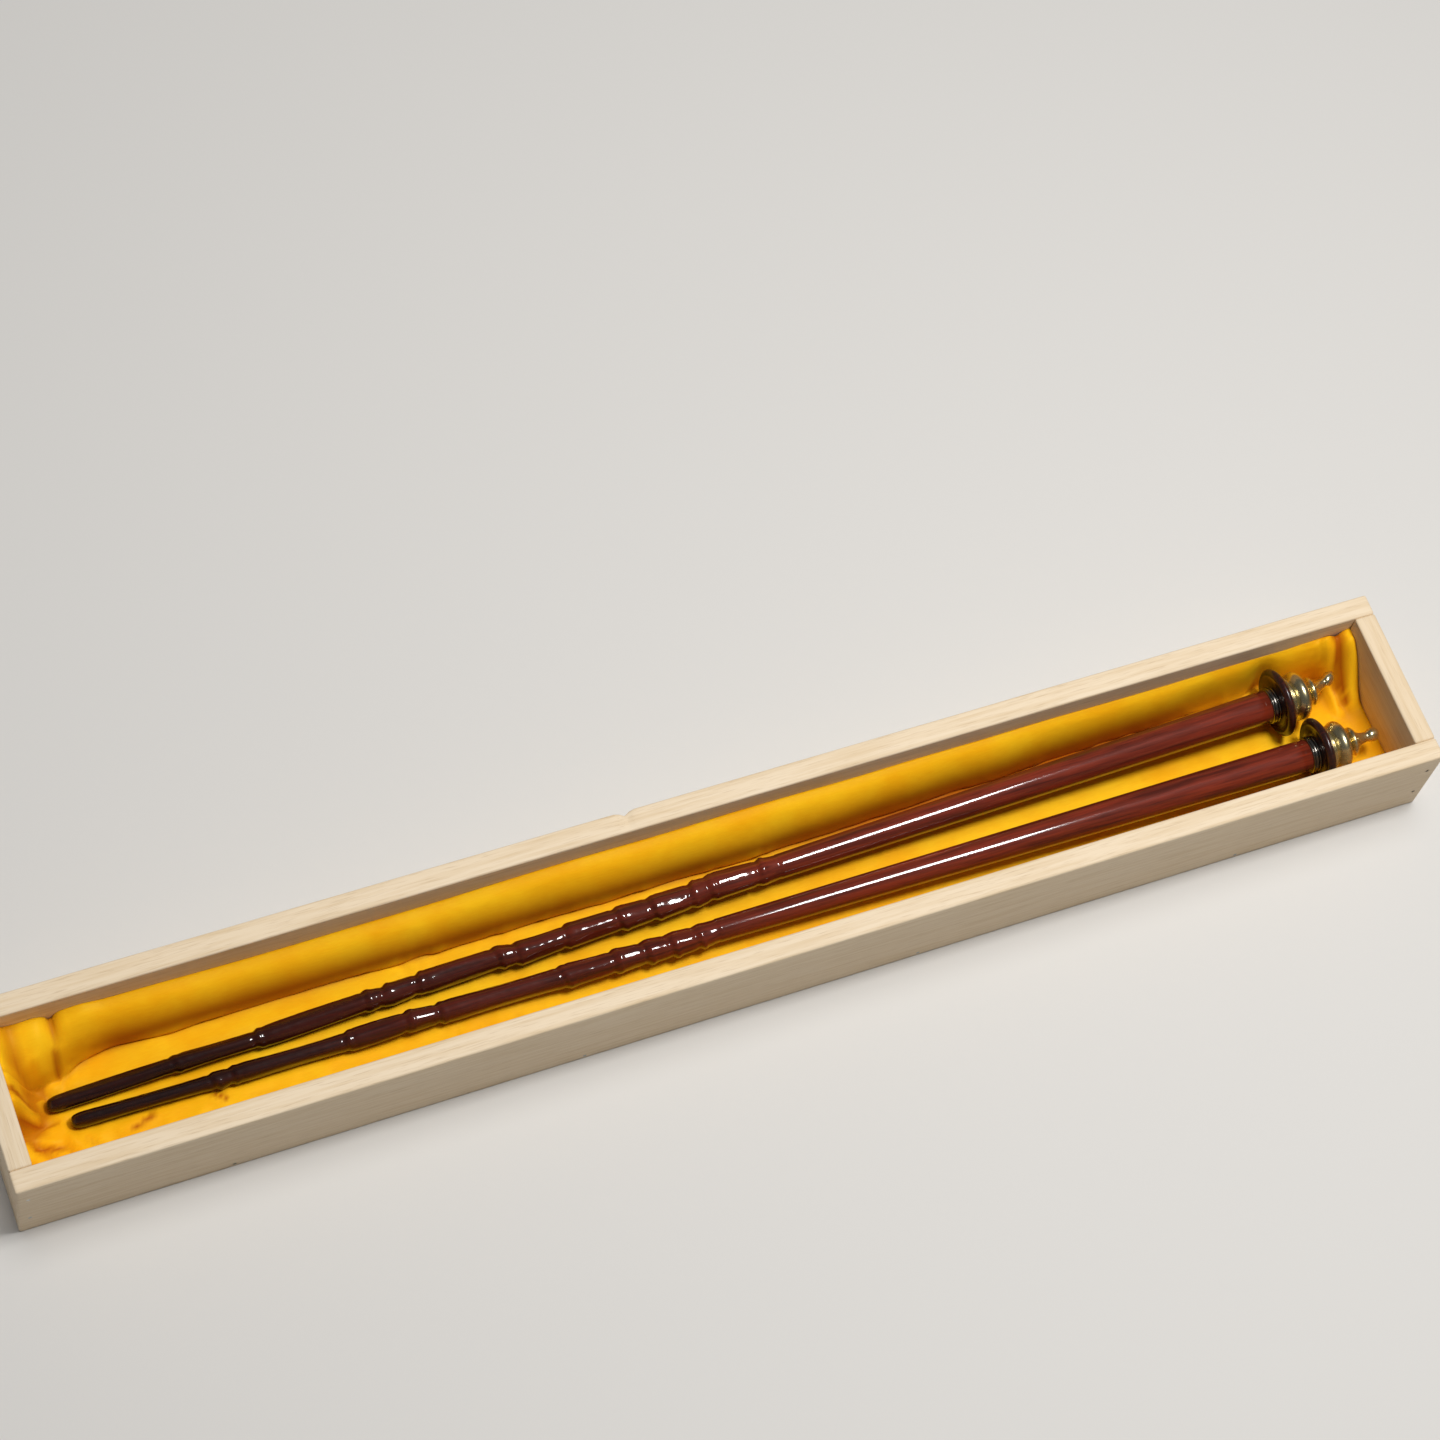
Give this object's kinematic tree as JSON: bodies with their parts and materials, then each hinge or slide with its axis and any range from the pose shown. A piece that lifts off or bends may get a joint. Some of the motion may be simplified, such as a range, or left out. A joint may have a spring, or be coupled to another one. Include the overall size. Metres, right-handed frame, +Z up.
{
  "type": "cased pair of percussion sticks",
  "caption": "Open wooden case with a golden satin lining that holds long slender tapered percussion sticks with turned brass finials.",
  "frame": {"origin": "middle of the case's underside", "axes": "+X along the case towards the finials, +Y towards the rear side board, +Z up out of the case"},
  "size_m": [0.46, 0.06, 0.034],
  "materials": {
    "case_wood": "planed, unfinished",
    "brad_steel": "plain",
    "wadding": "fibre wadding",
    "satin": "satin weave, glossy",
    "rosewood": "carved and lacquered",
    "white_metal": "polished",
    "dark_flange": "turned and polished",
    "brass": "turned and polished",
    "stud_steel": "plain"
  },
  "bodies": {
    "root": {"rear_side_board": "case_wood", "front_side_board": "case_wood", "right_end_board": "case_wood", "left_end_board": "case_wood", "base_panel": "case_wood", "corner_brads": "brad_steel", "base_brads": "brad_steel", "floor_wadding": "wadding", "satin_cover": "satin", "rear_roll": "wadding", "roll_sleeve": "satin", "rear_tuck": "satin", "front_tuck": "satin", "left_gather": "satin", "right_flap": "satin"},
    "rear_stick": {"rear_shaft": "rosewood", "rear_collar": "white_metal", "rear_flange": "dark_flange", "rear_stepped_washer": "brass", "rear_bulb": "brass", "rear_spire": "brass", "rear_stud": "stud_steel"},
    "front_stick": {"front_shaft": "rosewood", "front_collar": "white_metal", "front_flange": "dark_flange", "front_stepped_washer": "brass", "front_bulb": "brass", "front_spire": "brass", "front_stud": "stud_steel"}
  },
  "joints": [
    {"name": "rear_stick_lift", "type": "slide", "parent": "root", "child": "rear_stick", "axis": [0, 0, 1], "range_m": [0, 0.06]},
    {"name": "front_stick_lift", "type": "slide", "parent": "root", "child": "front_stick", "axis": [0, 0, 1], "range_m": [0, 0.06]}
  ]
}
